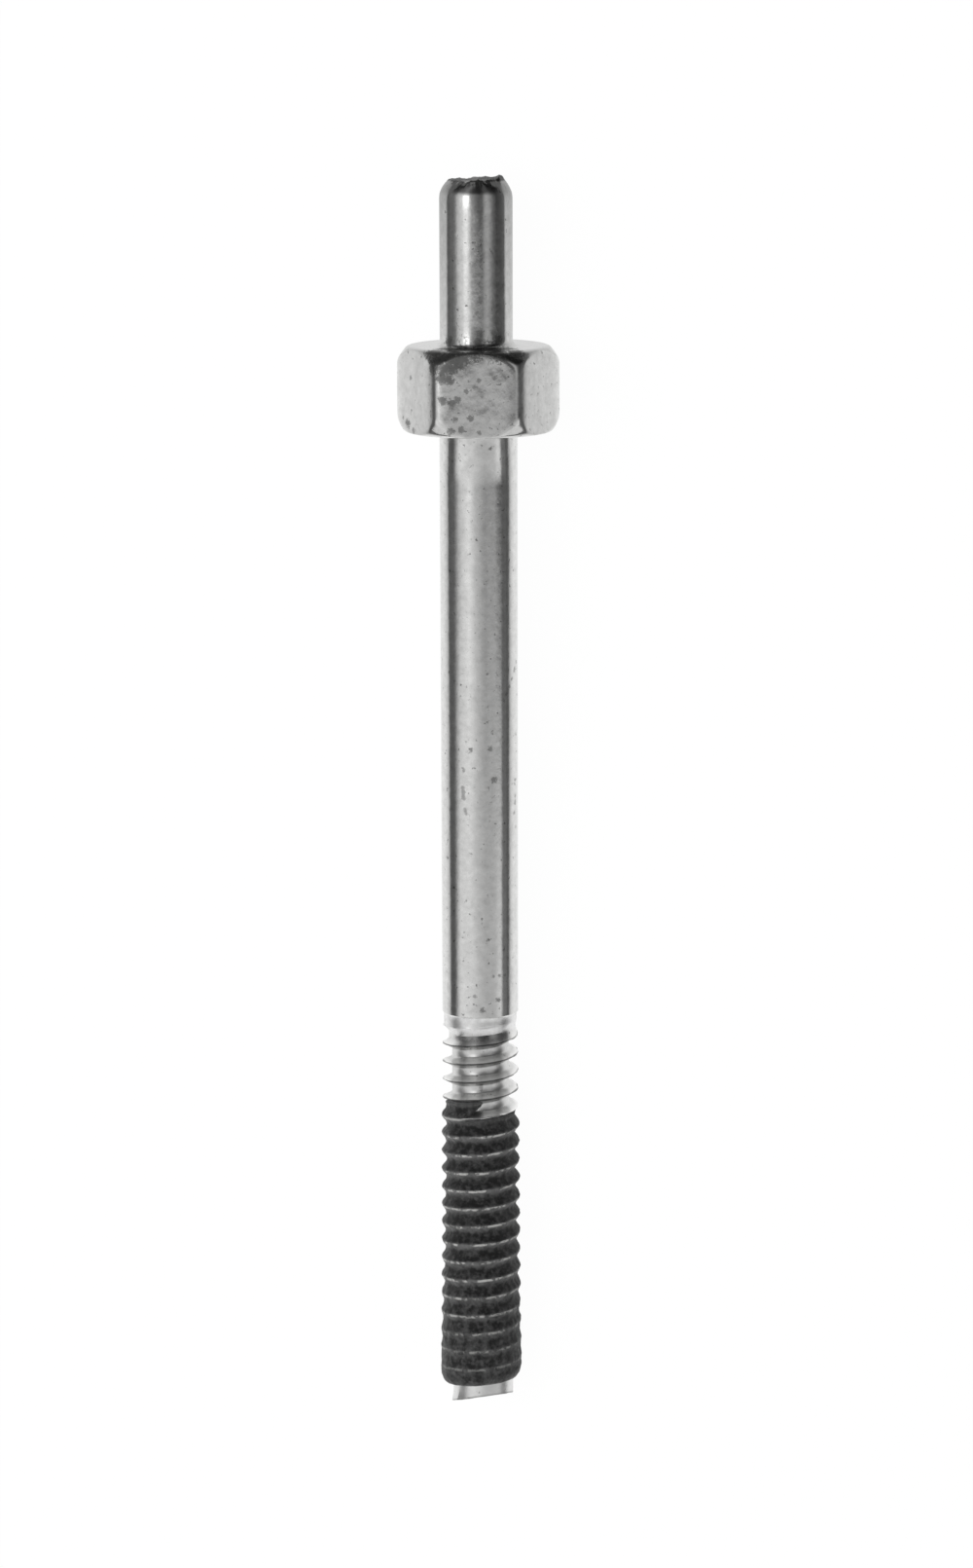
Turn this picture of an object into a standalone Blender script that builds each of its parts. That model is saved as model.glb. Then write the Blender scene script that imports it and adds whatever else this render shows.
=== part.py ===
"""Post stud: a turned steel stud in one piece, with a plain pin, a hexagon, a plain shank and a
No. 6-32 thread. Dried thread-locking compound fills the lower thread. The stud lies at rest on the
hexagon's edge and its coated end, with its axis along Y and the pin towards +Y.

Both bodies are modelled about the stud's own axis, which is local Z: height 0 is the hexagon's
underside, the pin is above it and the thread below. Lengths are in metres."""

import math

import bmesh
import bpy
from mathutils import Vector

MM = 0.001

# Pin
PIN_DIAMETER = 3.10 * MM
PIN_LENGTH = 6.88 * MM
PIN_END_ROUND_RADIAL = 0.37 * MM
PIN_END_ROUND_AXIAL = 0.60 * MM
PIN_FOOT_FILLET = 0.10 * MM

# Hexagon, with its ends turned to a rounded chamfer
HEX_ACROSS_FLATS = 6.10 * MM
HEX_HEIGHT = 3.60 * MM
HEX_CORNER_RADIUS = 0.60 * MM
TOP_FACE_DIAMETER = 5.80 * MM
TOP_CHAMFER_AXIAL = 0.80 * MM
SEAT_FACE_DIAMETER = 6.45 * MM
SEAT_CHAMFER_AXIAL = 0.60 * MM

# Shank, and the slightly thinner collar that it ends in
SHANK_DIAMETER = 3.30 * MM
SHANK_LENGTH = 25.00 * MM
COLLAR_DIAMETER = 3.12 * MM
COLLAR_STEP = 0.08 * MM
COLLAR_LENGTH = 0.25 * MM

# Thread, right hand, 32 turns to the inch, with a worn crest
PITCH = 25.4 * MM / 32
CREST_DIAMETER = 3.27 * MM
ROOT_DIAMETER = 2.44 * MM
CREST_FLAT = PITCH / 8
ROOT_FLAT = PITCH / 4
THREAD_LENGTH = 16.10 * MM
RUN_IN_TURNS = 0.60
RUN_OUT_LENGTH = 0.40 * MM

# Bare end below the thread, sheared at a slant
STUB_DIAMETER = 2.62 * MM
STUB_LENGTH = 0.72 * MM
END_SLANT = math.radians(5.5)

# Thread-locking compound: its outer ridges follow the thread and fill in towards the end
COATING_CLEARANCE = 0.03 * MM
COATING_FIRST_TURN = 5
COATING_FIRST_COLUMN = -5
COATING_CREST_DIAMETER = 3.40 * MM
COATING_ROOT_DIAMETER = 2.98 * MM
COATING_END_DIAMETER = 3.54 * MM
COATING_FILL_POWER = 2.5
COATING_OVERHANG = 0.30 * MM
COATING_END_ROUND_RADIAL = 0.30 * MM
COATING_END_ROUND_AXIAL = 0.70 * MM

# Facets. Columns stand half a facet round, so that a facet of the coated end faces the floor
SEGMENTS = 24
HALF_FACET = 0.5
CHAMFER_SEGMENTS = 48
ROUND_STEPS = 3
CORNER_STEPS = 3
MERGE_DISTANCE = 0.001 * MM

# Heights that follow from the lengths above
PIN_TOP = HEX_HEIGHT + PIN_LENGTH
THREAD_TOP = -(SHANK_LENGTH + COLLAR_LENGTH)
THREAD_END = THREAD_TOP - THREAD_LENGTH
STUB_END = THREAD_END - STUB_LENGTH
COATING_END = THREAD_END - COATING_OVERHANG
COATING_ROUND_TOP = COATING_END + COATING_END_ROUND_AXIAL

# Thread section, from one crest's middle down to the next: distance down, and radius when full
FLANK = (PITCH - CREST_FLAT - ROOT_FLAT) / 2
THREAD_LINES = (
    (CREST_FLAT / 2, CREST_DIAMETER / 2),
    (CREST_FLAT / 2 + FLANK, ROOT_DIAMETER / 2),
    (CREST_FLAT / 2 + FLANK + ROOT_FLAT, ROOT_DIAMETER / 2),
    (PITCH - CREST_FLAT / 2, CREST_DIAMETER / 2),
)

# This turn lies wholly above the thread, so its rows close on the collar's circle
TURN_ABOVE_THREAD = -1

# Section of the coating's outside, from one ridge to the next: distance down, and radius at the top
COATING_LINES = (
    (0.0, COATING_CREST_DIAMETER / 2),
    (PITCH / 2, COATING_ROOT_DIAMETER / 2),
)


def clear_scene():
    for old in list(bpy.data.objects):
        bpy.data.objects.remove(old, do_unlink=True)


def metal_material():
    material = bpy.data.materials.new("plated_steel")
    material.use_nodes = True
    shader = material.node_tree.nodes["Principled BSDF"]
    shader.inputs["Base Color"].default_value = (0.62, 0.62, 0.61, 1.0)
    shader.inputs["Metallic"].default_value = 1.0
    shader.inputs["Roughness"].default_value = 0.32
    return material


def compound_material():
    material = bpy.data.materials.new("dried_thread_locker")
    material.use_nodes = True
    shader = material.node_tree.nodes["Principled BSDF"]
    shader.inputs["Base Color"].default_value = (0.045, 0.045, 0.045, 1.0)
    shader.inputs["Metallic"].default_value = 0.0
    shader.inputs["Roughness"].default_value = 0.75
    return material


def add_object(name, bm, material):
    """Turns a finished bmesh into an object with smooth round faces and sharp edges."""
    bmesh.ops.remove_doubles(bm, verts=bm.verts, dist=MERGE_DISTANCE)
    bmesh.ops.dissolve_degenerate(bm, edges=bm.edges, dist=MERGE_DISTANCE / 10)
    bmesh.ops.recalc_face_normals(bm, faces=bm.faces)
    mesh = bpy.data.meshes.new(name)
    bm.to_mesh(mesh)
    bm.free()
    mesh.shade_smooth()
    mesh.set_sharp_from_angle(angle=math.radians(35))
    mesh.materials.append(material)
    made = bpy.data.objects.new(name, mesh)
    bpy.context.collection.objects.link(made)
    return made


def polar(radius, angle, height):
    return Vector((radius * math.cos(angle), radius * math.sin(angle), height))


def join_rows(bm, rows):
    """Faces between each row of vertices and the row below it."""
    for upper, lower in zip(rows, rows[1:]):
        for i in range(len(upper) - 1):
            bm.faces.new((lower[i], lower[i + 1], upper[i + 1], upper[i]))


def turned_row(bm, radius, height, segments=SEGMENTS, slant=0.0):
    """One circle of a turned body. A slanted one is higher on its +X side."""
    row = []
    for i in range(segments):
        point = polar(radius, math.tau * (i + HALF_FACET) / segments, height)
        point.z += point.x * math.tan(slant)
        row.append(bm.verts.new(point))
    return row + [row[0]]


def rounded_end(radius, end_height, radial, axial):
    """Radius and height along an edge rounded to a quarter ellipse, from the end face to the side."""
    points = []
    for i in range(ROUND_STEPS + 1):
        turn = math.pi / 2 * i / ROUND_STEPS
        points.append((radius - radial * (1 - math.sin(turn)), end_height - axial * (1 - math.cos(turn))))
    return points


def helical_rows(bm, lines, first_turn, first_column, bottom, radius_at):
    """Rows that follow the thread down to the bottom height, each a full turn long and closed on the
    row one pitch away. Points that would pass the thread's top or the bottom are held there."""
    rows = []
    last_turn = math.ceil((THREAD_TOP - bottom) / PITCH) + 2
    for turn in range(first_turn, last_turn):
        for down, full_radius in lines:
            row = []
            for column in range(first_column, first_column + SEGMENTS + 1):
                turned = (column + HALF_FACET) / SEGMENTS
                turns_cut = turn - turned
                height = THREAD_TOP - PITCH * turns_cut - down
                height = min(max(height, bottom), THREAD_TOP)
                radius = radius_at(full_radius, turns_cut, height)
                row.append(bm.verts.new(polar(radius, math.tau * turned, height)))
            rows.append(row)
    join_rows(bm, rows)
    return rows


def thread_radius(full_radius, turns_cut, height):
    """The thread starts at the collar's radius, and runs out to the bare end's."""
    depth = min(max(turns_cut / RUN_IN_TURNS, 0.0), 1.0)
    radius = COLLAR_DIAMETER / 2 + (full_radius - COLLAR_DIAMETER / 2) * depth
    run_out = min((height - THREAD_END) / RUN_OUT_LENGTH, 1.0)
    return STUB_DIAMETER / 2 + (radius - STUB_DIAMETER / 2) * run_out


def bore_radius(full_radius, turns_cut, height):
    return thread_radius(full_radius, turns_cut, height) + COATING_CLEARANCE


def coating_radius(top_radius, turns_cut, height):
    """Ridges and grooves both grow to the end's radius as the compound fills them."""
    last_turned = (COATING_FIRST_COLUMN + SEGMENTS + HALF_FACET) / SEGMENTS
    top = THREAD_TOP - PITCH * (COATING_FIRST_TURN - last_turned)
    filled = min(max((top - height) / (top - COATING_ROUND_TOP), 0.0), 1.0)
    return top_radius + (COATING_END_DIAMETER / 2 - top_radius) * filled**COATING_FILL_POWER


def hexagon_prism(material):
    """Hexagon with rounded corners and a flat towards -Y, longer than the finished one."""
    bm = bmesh.new()
    corner_centre = (HEX_ACROSS_FLATS / 2 - HEX_CORNER_RADIUS) / math.cos(math.pi / 6)
    outline = []
    for corner in range(6):
        middle = math.tau * corner / 6
        for i in range(CORNER_STEPS + 1):
            angle = middle + math.pi / 3 * (i / CORNER_STEPS - 0.5)
            point = polar(corner_centre, middle, -HEX_HEIGHT) + polar(HEX_CORNER_RADIUS, angle, 0.0)
            outline.append(bm.verts.new(point))
    bottom = bm.faces.new(outline)
    extruded = bmesh.ops.extrude_face_region(bm, geom=[bottom])
    raised = [part for part in extruded["geom"] if isinstance(part, bmesh.types.BMVert)]
    bmesh.ops.translate(bm, verts=raised, vec=(0.0, 0.0, 3 * HEX_HEIGHT))
    return add_object("hexagon_prism", bm, material)


def chamfered_blank(material):
    """Turned body that rounds the hexagon's two ends where the prism is cut to it."""
    across_corners = HEX_ACROSS_FLATS / math.cos(math.pi / 6)
    widest = across_corners / 2
    top = rounded_end(widest, HEX_HEIGHT, widest - TOP_FACE_DIAMETER / 2, TOP_CHAMFER_AXIAL)
    seat = rounded_end(widest, 0.0, widest - SEAT_FACE_DIAMETER / 2, -SEAT_CHAMFER_AXIAL)
    bm = bmesh.new()
    rows = [turned_row(bm, radius, height, CHAMFER_SEGMENTS) for radius, height in top + seat[::-1]]
    join_rows(bm, rows)
    bm.faces.new(rows[0][:-1])
    bm.faces.new(rows[-1][:-1])
    return add_object("chamfered_blank", bm, material)


def make_guide(guide):
    guide.hide_render = True
    guide.display_type = "WIRE"


def add_boolean(made, operation, operand):
    modifier = made.modifiers.new(operand.name, "BOOLEAN")
    modifier.operation = operation
    modifier.object = operand


def turned_profile():
    """Radius and height of the plain turned part, from the pin's end to the thread's start."""
    foot_depth = 2 * PIN_FOOT_FILLET
    profile = rounded_end(PIN_DIAMETER / 2, PIN_TOP, PIN_END_ROUND_RADIAL, PIN_END_ROUND_AXIAL)
    profile += [
        (PIN_DIAMETER / 2, HEX_HEIGHT + PIN_FOOT_FILLET),
        (PIN_DIAMETER / 2 + foot_depth, HEX_HEIGHT + PIN_FOOT_FILLET - foot_depth),
        (SHANK_DIAMETER / 2, HEX_HEIGHT / 2),
        (SHANK_DIAMETER / 2, -SHANK_LENGTH),
        (COLLAR_DIAMETER / 2, -SHANK_LENGTH - COLLAR_STEP),
        (COLLAR_DIAMETER / 2, THREAD_TOP),
    ]
    return profile


def build_stud(material):
    """Pin, shank, thread and bare end as one turned mesh, with the hexagon joined to it."""
    bm = bmesh.new()
    plain = [turned_row(bm, radius, height) for radius, height in turned_profile()]
    join_rows(bm, plain)
    bm.faces.new(plain[0][:-1])
    helical_rows(bm, THREAD_LINES, TURN_ABOVE_THREAD, 0, THREAD_END, thread_radius)
    stub = [
        turned_row(bm, STUB_DIAMETER / 2, THREAD_END),
        turned_row(bm, STUB_DIAMETER / 2, STUB_END, slant=END_SLANT),
    ]
    join_rows(bm, stub)
    bm.faces.new(stub[1][:-1])
    stud = add_object("stud", bm, material)

    prism = hexagon_prism(material)
    blank = chamfered_blank(material)
    make_guide(prism)
    make_guide(blank)
    add_boolean(prism, "INTERSECT", blank)
    add_boolean(stud, "UNION", prism)
    return stud, [prism, blank]


def build_coating(material):
    """Sleeve whose bore is the thread's form. It starts in a groove, at a step one pitch high."""
    bm = bmesh.new()
    bore = helical_rows(
        bm, THREAD_LINES, COATING_FIRST_TURN, COATING_FIRST_COLUMN, THREAD_END, bore_radius
    )
    outside = helical_rows(
        bm, COATING_LINES, COATING_FIRST_TURN, COATING_FIRST_COLUMN, COATING_ROUND_TOP, coating_radius
    )
    join_rows(bm, [outside[0], bore[0]])
    step = [row[-1] for row in outside[: len(COATING_LINES) + 1]]
    step += [row[-1] for row in bore[len(THREAD_LINES) :: -1]]
    bm.faces.new(step)

    end_round = rounded_end(
        COATING_END_DIAMETER / 2, COATING_END, COATING_END_ROUND_RADIAL, -COATING_END_ROUND_AXIAL
    )
    end_rows = [turned_row(bm, radius, height) for radius, height in end_round[::-1]]
    bore_at_end = STUB_DIAMETER / 2 + COATING_CLEARANCE
    end_rows += [turned_row(bm, bore_at_end, height) for height in (COATING_END, THREAD_END)]
    join_rows(bm, end_rows)
    return add_object("thread_lock_coating", bm, material)


def lay_down(pieces, guides):
    """Turns the stud on its side about one empty, resting on the hexagon's lower edge and on the
    first point of the coated end to touch. The origin is the middle of its length, on the surface."""
    reach = HEX_ACROSS_FLATS / 2
    below = [v.co for piece in pieces for v in piece.data.vertices if v.co.z < -HEX_HEIGHT]
    lean = min(math.atan2(reach - point.y, -point.z) for point in below)
    axis = bpy.data.objects.new("stud_axis", None)
    bpy.context.collection.objects.link(axis)
    axis.rotation_euler = (lean - math.pi / 2, 0.0, 0.0)
    turn = axis.rotation_euler.to_matrix()
    along = [(turn @ v.co).y for piece in pieces for v in piece.data.vertices]
    axis.location = (0.0, -(min(along) + max(along)) / 2, reach * math.cos(lean))
    for child in pieces + guides:
        child.parent = axis


def main():
    clear_scene()
    metal = metal_material()
    stud, guides = build_stud(metal)
    coating = build_coating(compound_material())
    lay_down([stud, coating], guides)


main()
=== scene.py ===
"""Looks for the post stud: a turned and plated steel stud with a plain pin, a hexagon, a plain
shank and a No. 6-32 thread, with dried thread-locking compound on the lower thread. Both pieces are
made standing on the stud's own axis in millimetres, with height 0 at the hexagon's underside and
the front towards -Y, and are then laid down in metres on the surface that the stud rests on."""

import math

import bpy
from mathutils import Matrix, Vector, noise


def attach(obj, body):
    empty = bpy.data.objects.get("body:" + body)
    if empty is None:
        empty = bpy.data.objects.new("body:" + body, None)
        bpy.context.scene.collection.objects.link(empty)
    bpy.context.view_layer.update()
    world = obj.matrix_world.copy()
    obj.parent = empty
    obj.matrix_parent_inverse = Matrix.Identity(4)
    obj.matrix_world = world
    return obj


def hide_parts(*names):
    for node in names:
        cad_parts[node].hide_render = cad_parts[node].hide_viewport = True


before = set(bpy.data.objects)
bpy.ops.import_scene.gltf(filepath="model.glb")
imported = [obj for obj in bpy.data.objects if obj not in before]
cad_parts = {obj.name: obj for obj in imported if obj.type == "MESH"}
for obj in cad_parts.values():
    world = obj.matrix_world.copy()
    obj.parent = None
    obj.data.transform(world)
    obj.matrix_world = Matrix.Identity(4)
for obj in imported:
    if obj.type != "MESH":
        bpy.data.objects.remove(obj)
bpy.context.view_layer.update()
bpy.ops.object.select_all(action="DESELECT")


# The stud: one piece of free-machining steel, turned on a lathe to the pin, the blank of the
# hexagon, the shank and the thinner collar. The six flats are then milled on the blank, and the
# thread is rolled below the collar. The pin's end keeps the slanted, ragged face of the cut-off.

PIN_RADIUS = 1.535
PIN_TOP = 10.56
HEX_HEIGHT = 3.60
HEX_BLANK_RADIUS = 3.522
SHANK_RADIUS = 1.65
SHANK_END_RADIUS = 1.63
SHANK_END = -25.00
COLLAR_RADIUS = 1.56

# Points nearer to each other than this are one point.
MERGE_DISTANCE = 0.0002
TURNED_SIDES = 360

# Radius and height below the pin's end, and radius and distance from the hexagon's end faces.
PIN_CHAMFER = [
    (1.08, 0.0), (1.13, 0.01), (1.17, 0.035), (1.20, 0.07), (1.26, 0.14), (1.32, 0.215),
    (1.38, 0.30), (1.425, 0.38), (1.465, 0.47), (1.50, 0.56), (1.52, 0.65), (PIN_RADIUS, 0.80),
]
TOP_CHAMFER = [
    (2.84, 0.0), (2.90, 0.007), (2.95, 0.02), (2.99, 0.035), (3.03, 0.055), (3.07, 0.09),
    (3.12, 0.15), (3.17, 0.21), (3.23, 0.293), (3.28, 0.36), (3.32, 0.425), (3.36, 0.50),
    (3.39, 0.575), (3.42, 0.66), (3.445, 0.75), (3.465, 0.84), (3.485, 0.945), (3.50, 1.05),
    (3.513, 1.17), (HEX_BLANK_RADIUS, 1.30),
]
SEAT_CHAMFER = [
    (3.00, 0.0), (3.05, 0.01), (3.10, 0.03), (3.145, 0.065), (3.19, 0.11), (3.23, 0.175),
    (3.27, 0.25), (3.31, 0.335), (3.345, 0.42), (3.38, 0.52), (3.41, 0.62), (3.437, 0.72),
    (3.46, 0.82), (3.482, 0.92), (3.50, 1.02), (3.513, 1.13), (HEX_BLANK_RADIUS, 1.25),
]

# Radius and height where the pin's foot, the shank's top and the collar are rounded off.
PIN_FOOT = [
    (PIN_RADIUS, HEX_HEIGHT + 0.30), (1.545, HEX_HEIGHT + 0.22), (1.57, HEX_HEIGHT + 0.13),
    (1.62, HEX_HEIGHT + 0.05), (1.72, HEX_HEIGHT),
]
SHANK_TOP = [(1.72, 0.0), (1.68, -0.03), (SHANK_RADIUS, -0.10)]
COLLAR_STEP = [(COLLAR_RADIUS + 0.04, SHANK_END - 0.03), (COLLAR_RADIUS, SHANK_END - 0.10)]


def straight(start, end, steps):
    """Points between two others, without the first and with the last."""
    return [
        (start[0] + (end[0] - start[0]) * i / steps, start[1] + (end[1] - start[1]) * i / steps)
        for i in range(1, steps + 1)
    ]


def draw_profile(name, points):
    """One point, extruded from place to place in the plane of radius and height."""
    bpy.ops.object.select_all(action="DESELECT")
    bpy.ops.mesh.primitive_plane_add(size=1)
    piece = bpy.context.object
    piece.name = name
    bpy.ops.object.mode_set(mode="EDIT")
    bpy.ops.mesh.merge(type="CENTER")
    bpy.ops.transform.translate(value=(points[0][0], 0, points[0][1]))
    for here, there in zip(points, points[1:]):
        step = (there[0] - here[0], 0, there[1] - here[1])
        bpy.ops.mesh.extrude_region_move(TRANSFORM_OT_translate={"value": step})
    bpy.ops.object.mode_set(mode="OBJECT")
    return piece


def spin_profile(piece, sides):
    """The whole turn of a profile, closed on itself."""
    bpy.ops.object.mode_set(mode="EDIT")
    bpy.ops.mesh.select_all(action="SELECT")
    bpy.ops.mesh.spin(steps=sides, angle=math.tau, center=(0, 0, 0), axis=(0, 0, 1))
    bpy.ops.mesh.select_all(action="SELECT")
    bpy.ops.mesh.remove_doubles(threshold=MERGE_DISTANCE)
    bpy.ops.object.mode_set(mode="OBJECT")


pin_end = [(radius, PIN_TOP - depth) for radius, depth in PIN_CHAMFER]
top_chamfer = [(radius, HEX_HEIGHT - depth) for radius, depth in TOP_CHAMFER]
turned_profile = [(radius, PIN_TOP) for radius in (0.0, 0.35, 0.7, 0.95)] + pin_end
turned_profile += straight(pin_end[-1], PIN_FOOT[0], 10) + PIN_FOOT[1:]
turned_profile += straight(PIN_FOOT[-1], top_chamfer[0], 10) + top_chamfer[1:]
turned_profile += straight(top_chamfer[-1], SEAT_CHAMFER[-1], 14) + SEAT_CHAMFER[-2::-1]
turned_profile += straight(SEAT_CHAMFER[0], SHANK_TOP[0], 10) + SHANK_TOP[1:]
turned_profile += straight(SHANK_TOP[-1], (SHANK_END_RADIUS, SHANK_END), 12) + COLLAR_STEP
stud = draw_profile("post_stud", turned_profile)
spin_profile(stud, TURNED_SIDES)


# The hexagon's flats, milled on the turned blank. Years of spanners and the plating have rounded
# every edge a little, so the flat and the blank meet in a soft edge. Towards each corner the flat
# falls off in a wide curve first and then in a tight one.

FLAT_DISTANCE = 3.05
EDGE_SOFTNESS = 0.05
WIDE_CURVE = 3.0
WIDE_TURN = math.radians(9)
TIGHT_CURVE = 0.42
inwards = WIDE_CURVE - TIGHT_CURVE
tight_depth = FLAT_DISTANCE - WIDE_CURVE + inwards * math.cos(WIDE_TURN)
TIGHT_CENTRE = (tight_depth * math.tan(math.pi / 6), tight_depth)
WIDE_CENTRE = (TIGHT_CENTRE[0] - inwards * math.sin(WIDE_TURN), FLAT_DISTANCE - WIDE_CURVE)
CURVE_START = math.atan2(WIDE_CENTRE[0], FLAT_DISTANCE)
TIGHT_START = math.atan2(
    WIDE_CENTRE[0] + WIDE_CURVE * math.sin(WIDE_TURN),
    WIDE_CENTRE[1] + WIDE_CURVE * math.cos(WIDE_TURN),
)


def flat_radius(angle):
    """Distance from the axis to the rounded hexagon's outline. A flat faces the front."""
    off_flat = abs(angle % (math.pi / 3) - math.pi / 6)
    if off_flat < CURVE_START:
        return FLAT_DISTANCE / math.cos(off_flat)
    if off_flat < TIGHT_START:
        centre, curve = WIDE_CENTRE, WIDE_CURVE
    else:
        centre, curve = TIGHT_CENTRE, TIGHT_CURVE
    along = centre[0] * math.sin(off_flat) + centre[1] * math.cos(off_flat)
    return along + math.sqrt(curve**2 - centre[0] ** 2 - centre[1] ** 2 + along**2)


def soft_least(a, b, softness):
    """The lesser of two distances, rounded off where both are nearly the same."""
    return min(a, b) - max(softness - abs(a - b), 0.0) ** 2 / (4 * softness)


# Dents in the flats: a few micrometres deep, 0.8 mm wide (1.3 to the millimetre) and 0.3 mm wide.
# What is nearer the axis than MILLED_FROM is the end faces' inner part, with the pin's foot.
WIDE_DENT = 0.005
SMALL_DENT = 0.0012
MILLED_FROM = 2.2

for vertex in stud.data.vertices:
    point = vertex.co
    radius = math.hypot(point.x, point.y)
    if -0.001 <= point.z <= HEX_HEIGHT + 0.001 and radius > MILLED_FROM:
        milled = soft_least(radius, flat_radius(math.atan2(point.y, point.x)), EDGE_SOFTNESS)
        milled += WIDE_DENT * noise.noise(point * 1.3)
        milled += SMALL_DENT * noise.noise(point * 3.7)
        point.x *= milled / radius
        point.y *= milled / radius


# The pin, turned a little off the hexagon's centre, and its cut-off end: the parting tool left it
# slightly slanted, with a burr at the right, a shallow dip left of the middle, and a torn rim.

PIN_OFF_CENTRE = -0.08
OFF_CENTRE_WITHIN = 0.20
FOOT_RADIUS = 2.0
CUT_REACH = 0.45
CUT_SLANT = 0.03
BURR_PLACE, BURR_WIDTH, BURR_HEIGHT = 1.02, 0.14, 0.09
BURR_BACK = 0.6
DIP_PLACE, DIP_WIDTH, DIP_DEPTH = -0.42, 0.20, 0.06
RIM_WANDER = 0.02

for vertex in stud.data.vertices:
    point = vertex.co
    near_end = (point.z - (PIN_TOP - CUT_REACH)) / CUT_REACH
    if near_end > 0:
        rise = CUT_SLANT * point.x
        if point.y < BURR_BACK:
            rise += BURR_HEIGHT * math.exp(-(((point.x - BURR_PLACE) / BURR_WIDTH) ** 2))
        rise -= DIP_DEPTH * math.exp(-(((point.x - DIP_PLACE) / DIP_WIDTH) ** 2))
        # Torn in lumps of 0.25 mm (4 to the millimetre) and of 0.1 mm, and wavy over 0.2 mm.
        rise += 0.05 * noise.noise(point * 4.0) + 0.03 * noise.noise(point * 9.0)
        torn = near_end**2
        point.z += rise * torn
        point.x *= 1 + RIM_WANDER * torn * noise.noise(point * 5.0)
        point.y *= 1 + RIM_WANDER * torn * noise.noise(point * 5.0)
    if point.z > HEX_HEIGHT and math.hypot(point.x, point.y) < FOOT_RADIUS:
        point.x += PIN_OFF_CENTRE * min((point.z - HEX_HEIGHT) / OFF_CENTRE_WITHIN, 1.0)


# The thread: rolled, right hand, 32 turns to the inch. It starts from nothing below the collar and
# runs out on the bare end. The crests are thin, and the roots are rounded.

PITCH = 25.4 / 32
THREAD_TOP = -25.25
THREAD_LENGTH = 16.10
THREAD_END = THREAD_TOP - THREAD_LENGTH
CREST_RADIUS = 1.635
ROOT_RADIUS = 1.22
RUN_OUT = 0.40
STUB_RADIUS = 1.29
STUB_OFF_CENTRE = 0.09
THREAD_SIDES = 96

# The winding's turns end within a micrometre of each other.
TURN_GAP = 0.001


def wind_profile(piece, turns, sides):
    """A profile one pitch high, wound down the stud as a right-hand screw."""
    screw = piece.modifiers.new("winding", "SCREW")
    screw.axis = "Z"
    screw.angle = math.tau
    screw.screw_offset = PITCH
    screw.iterations = turns
    screw.steps = screw.render_steps = sides
    bpy.context.view_layer.objects.active = piece
    bpy.ops.object.modifier_apply(modifier=screw.name)
    bpy.ops.object.mode_set(mode="EDIT")
    bpy.ops.mesh.select_all(action="SELECT")
    bpy.ops.mesh.remove_doubles(threshold=TURN_GAP)
    bpy.ops.object.mode_set(mode="OBJECT")


def cut_to_length(piece, top, bottom):
    """Cuts off all that is above one height and below another, and leaves the ends open."""
    bpy.context.view_layer.objects.active = piece
    bpy.ops.object.mode_set(mode="EDIT")
    for height, normal in ((top, (0, 0, 1)), (bottom, (0, 0, -1))):
        bpy.ops.mesh.select_all(action="SELECT")
        bpy.ops.mesh.bisect(
            plane_co=(0, 0, height), plane_no=normal, clear_outer=True,
            threshold=MERGE_DISTANCE / 2,
        )
    bpy.ops.object.mode_set(mode="OBJECT")


# Radius and height from the middle of a crest to the middle of the root, then back up to the next
# crest. The winding starts too high and ends too low, and is cut to length.
thread_section = [
    (CREST_RADIUS, 0.0),
    (CREST_RADIUS - 0.010, -0.018),
    (CREST_RADIUS - 0.050, -0.034),
    (1.50, -0.068),
    (1.41, -0.112),
    (1.30, -0.172),
    (ROOT_RADIUS + 0.022, -0.222),
    (ROOT_RADIUS, -0.262),
    (ROOT_RADIUS, -PITCH / 2),
]
thread_section += [(radius, -PITCH - height) for radius, height in thread_section[-2::-1]]
wound_top = THREAD_TOP + 2 * PITCH
turns = math.ceil((wound_top - THREAD_END) / PITCH) + 2
lowest = wound_top - turns * PITCH
thread = draw_profile("thread", [(radius, lowest + height) for radius, height in thread_section])
wind_profile(thread, turns, THREAD_SIDES)
cut_to_length(thread, THREAD_TOP, THREAD_END)


def share(value):
    """The value, held between 0 and 1."""
    return min(max(value, 0.0), 1.0)


def smooth_rise(value):
    """From 0 to 1, with a soft start and a soft end."""
    return share(value) * share(value) * (3 - 2 * share(value))


# The first groove, in turns below the thread's top: where it falls, and where it is deepest.
FIRST_GROOVE_RADIUS = 1.36
FALL_START = 0.06
FALL_LENGTH = 0.42
DEEPEST = 0.48


def first_groove(into):
    """The shallow groove where the rolling starts: a short fall, then a long slope to the crest."""
    if into < DEEPEST:
        fallen = max((into - FALL_START) / FALL_LENGTH, 0.0) ** 1.5
        return COLLAR_RADIUS - (COLLAR_RADIUS - FIRST_GROOVE_RADIUS) * fallen
    risen = ((into - DEEPEST) / (1 - DEEPEST)) ** 1.15
    return FIRST_GROOVE_RADIUS + (CREST_RADIUS - FIRST_GROOVE_RADIUS) * risen


# Half a crest's width, in turns. Each groove's depth at the start of the rolling, and how much
# deeper it gets with each turn, as shares of the full depth, and where the first groove turns into
# the thread's own. The metal that the dies press up to the crests, and how uneven it is: swells
# 0.5 mm long (1.9 to the millimetre) and nicks of 0.2 mm.
HALF_CREST = 0.02
START_DEPTH, DEEPER_EACH_TURN = 0.2, 0.9
FIRST_START_DEPTH, FIRST_DEEPER = 0.3, 2.0
CHANGE_START, CHANGE_LENGTH = 0.25, 0.30
CREST_FROM, CREST_BLEND = 1.45, 0.15
CREST_SWELL, CREST_NICK, CREST_LOSS = 0.035, 0.02, 0.01
CREST_WANDER = 0.03

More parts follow.
